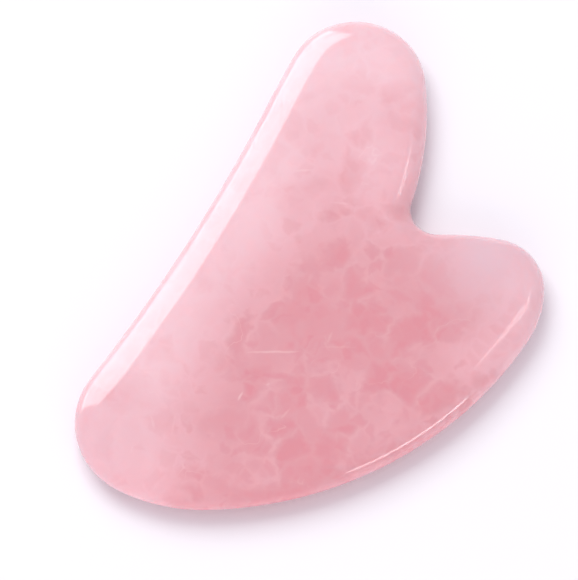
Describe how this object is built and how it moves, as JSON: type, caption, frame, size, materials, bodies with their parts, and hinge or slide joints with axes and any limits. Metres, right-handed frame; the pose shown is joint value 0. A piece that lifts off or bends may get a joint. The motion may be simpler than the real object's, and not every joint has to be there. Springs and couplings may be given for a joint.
{
  "type": "gua sha scraper",
  "caption": "Heart-shaped facial massage stone: a flat polished slab with fully rounded edges, a long and a short lobe, and a V notch between them.",
  "frame": {"origin": "middle of the outline's box, on the lower flat face", "axes": "+Y along the stone's length towards the long lobe, +X towards the short lobe, +Z out of the upper flat face"},
  "size_m": [0.0542, 0.084, 0.0065],
  "materials": {
    "rose_quartz": "polished"
  },
  "bodies": {
    "root": {"scraper_stone": "rose_quartz"}
  },
  "joints": []
}
